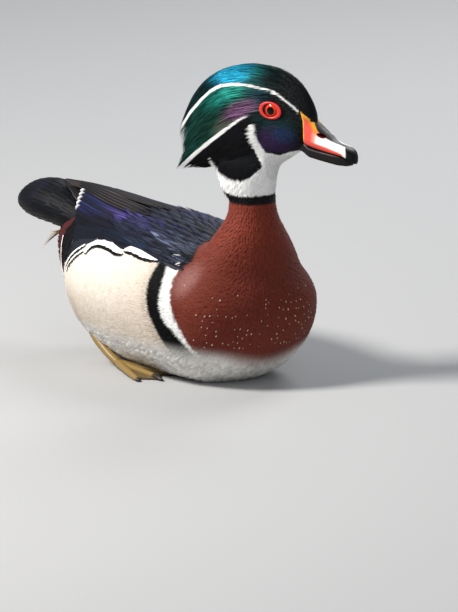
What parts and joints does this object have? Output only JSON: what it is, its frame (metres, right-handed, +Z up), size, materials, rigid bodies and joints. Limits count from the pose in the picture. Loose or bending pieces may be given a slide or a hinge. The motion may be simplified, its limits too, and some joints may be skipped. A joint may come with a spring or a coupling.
{
  "type": "wood duck drake",
  "caption": "Life-size drake wood duck resting on its belly with its head turned a little to its left and its crest laid back.",
  "frame": {"origin": "on the floor under the middle of the bird's length and width", "axes": "+X towards the breast and bill, +Y to the bird's left, +Z up"},
  "size_m": [0.3352, 0.1288, 0.2169],
  "materials": {
    "feathers": "soft overlapping feathers",
    "bill_horn": "satin horn",
    "foot_skin": "scaly skin",
    "eye_gloss": "wet gloss"
  },
  "bodies": {
    "root": {"torso": "feathers", "neck": "feathers", "head": "feathers", "crest": "feathers", "tail": "feathers", "wing_right": "feathers", "wing_left": "feathers", "flank_right": "feathers", "flank_left": "feathers", "bill_upper": "bill_horn", "bill_lower": "bill_horn", "leg_right": "foot_skin", "leg_left": "foot_skin", "eye_right": "eye_gloss", "eye_left": "eye_gloss"}
  },
  "joints": []
}
